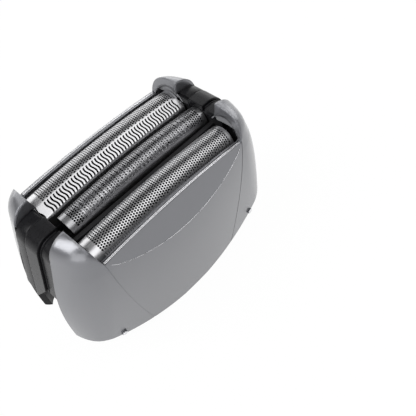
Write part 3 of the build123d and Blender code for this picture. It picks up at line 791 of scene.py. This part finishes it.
def makeFloorMaterial():
    material = bpy.data.materials.new("paleFloor")
    material.use_nodes = True
    nodes = material.node_tree.nodes
    links = material.node_tree.links
    shader = nodes["Principled BSDF"]
    shader.inputs["Base Color"].default_value = (floorSet["paint"], floorSet["paint"], floorSet["paint"], 1.0)
    shader.inputs["Roughness"].default_value = floorSet["roughness"]
    glow = nodes.new("ShaderNodeEmission")
    glow.inputs["Color"].default_value = white
    path = nodes.new("ShaderNodeLightPath")
    mirrored = addMath(nodes, "ADD")
    dimmed = addMath(nodes, "MULTIPLY")
    dimmed.inputs[1].default_value = floorSet["mirrored"]
    seen = addMath(nodes, "ADD", True)
    share = addMath(nodes, "MULTIPLY")
    share.inputs[1].default_value = floorSet["seen"]
    blend = nodes.new("ShaderNodeMixShader")
    links.new(path.outputs["Is Glossy Ray"], mirrored.inputs[0])
    links.new(path.outputs["Is Transmission Ray"], mirrored.inputs[1])
    links.new(path.outputs["Is Camera Ray"], seen.inputs[0])
    links.new(mirrored.outputs["Value"], dimmed.inputs[0])
    links.new(dimmed.outputs["Value"], seen.inputs[1])
    links.new(seen.outputs["Value"], share.inputs[0])
    links.new(share.outputs["Value"], blend.inputs["Fac"])
    links.new(shader.outputs["BSDF"], blend.inputs[1])
    links.new(glow.outputs["Emission"], blend.inputs[2])
    links.new(blend.outputs["Shader"], nodes["Material Output"].inputs["Surface"])
    return material


def makeWorld():
    world = bpy.data.worlds.new("softStudio")
    world.use_nodes = True
    nodes = world.node_tree.nodes
    links = world.node_tree.links
    grey = nodes["Background"]
    grey.inputs["Color"].default_value = (*worldSet["grey"], 1.0)
    grey.inputs["Strength"].default_value = worldSet["strength"]
    whiteBack = nodes.new("ShaderNodeBackground")
    whiteBack.inputs["Color"].default_value = white
    path = nodes.new("ShaderNodeLightPath")
    direction = nodes.new("ShaderNodeTexCoord")
    height = nodes.new("ShaderNodeSeparateXYZ")
    horizon = nodes.new("ShaderNodeMapRange")
    horizon.inputs["From Min"].default_value = worldSet["horizon"][0]
    horizon.inputs["From Max"].default_value = worldSet["horizon"][1]
    horizon.inputs["To Min"].default_value = 1.0
    horizon.inputs["To Max"].default_value = 0.0
    mirrored = addMath(nodes, "ADD")
    low = addMath(nodes, "MULTIPLY")
    seen = addMath(nodes, "ADD", True)
    blend = nodes.new("ShaderNodeMixShader")
    links.new(direction.outputs["Generated"], height.inputs["Vector"])
    links.new(height.outputs["Z"], horizon.inputs["Value"])
    links.new(path.outputs["Is Glossy Ray"], mirrored.inputs[0])
    links.new(path.outputs["Is Transmission Ray"], mirrored.inputs[1])
    links.new(mirrored.outputs["Value"], low.inputs[0])
    links.new(horizon.outputs["Result"], low.inputs[1])
    links.new(path.outputs["Is Camera Ray"], seen.inputs[0])
    links.new(low.outputs["Value"], seen.inputs[1])
    links.new(seen.outputs["Value"], blend.inputs["Fac"])
    links.new(grey.outputs["Background"], blend.inputs[1])
    links.new(whiteBack.outputs["Background"], blend.inputs[2])
    links.new(blend.outputs["Shader"], nodes["World Output"].inputs["Surface"])
    return world


bpy.ops.mesh.primitive_plane_add(size=floorSet["size"], location=(0.0, 0.0, floorSet["height"]))
floor = bpy.context.active_object
floor.name = "paleFloor"
floor.data.materials.append(makeFloorMaterial())
scene.world = makeWorld()
print("floor and world made")


# Lamps, all turned to the middle of the head

lampAim = (0.0, 0.0, 0.03)
lamps = {
    "rearSoftbox": {"place": (0.20, 0.50, 0.25), "size": (0.9, 0.5), "power": 2.3},
    "frontSoftbox": {"place": (0.10, -0.27, 0.52), "size": (0.75, 0.42), "power": 1.9},
    "leftTop": {"place": (-0.35, 0.12, 0.46), "size": (0.36, 0.42), "power": 2.6},
    "rightTop": {"place": (0.55, 0.06, 0.26), "size": (0.36, 0.36), "power": 0.95},
    "leftFill": {"place": (-0.46, -0.22, 0.20), "size": (0.40, 0.30), "power": 0.8},
}
for lampName, lamp in lamps.items():
    light = bpy.data.lights.new(lampName, "AREA")
    light.shape = "RECTANGLE"
    light.size, light.size_y = lamp["size"]
    light.energy = lamp["power"]
    holder = bpy.data.objects.new(lampName, light)
    scene.collection.objects.link(holder)
    holder.location = lamp["place"]
    aim = Vector(lampAim) - holder.location
    holder.rotation_euler = aim.to_track_quat("-Z", "Y").to_euler()
print("lamps made")


# Camera: its own right, down and forward directions, as fitted to the photograph

view = {
    "right": (0.6799, -0.7201, -0.1383), "down": (-0.6350, -0.4840, -0.6021),
    "ahead": (0.3666, 0.4972, -0.7864), "place": (-0.03775, -0.07408, 0.12067),
    "lens": 48.44, "sensor": 36.0, "shift": 0.0035, "near": 0.005, "far": 20.0,
}
cameraData = bpy.data.cameras.new("photoCamera")
cameraData.lens = view["lens"]
cameraData.sensor_width = view["sensor"]
cameraData.shift_x = view["shift"]
cameraData.clip_start = view["near"]
cameraData.clip_end = view["far"]
camera = bpy.data.objects.new("photoCamera", cameraData)
scene.collection.objects.link(camera)
turnRows = (view["right"], [-value for value in view["down"]], [-value for value in view["ahead"]])
turn = Matrix(turnRows).transposed().to_4x4()
camera.matrix_world = Matrix.Translation(view["place"]) @ turn
scene.camera = camera
scene.view_settings.view_transform = "Standard"
print("camera made")
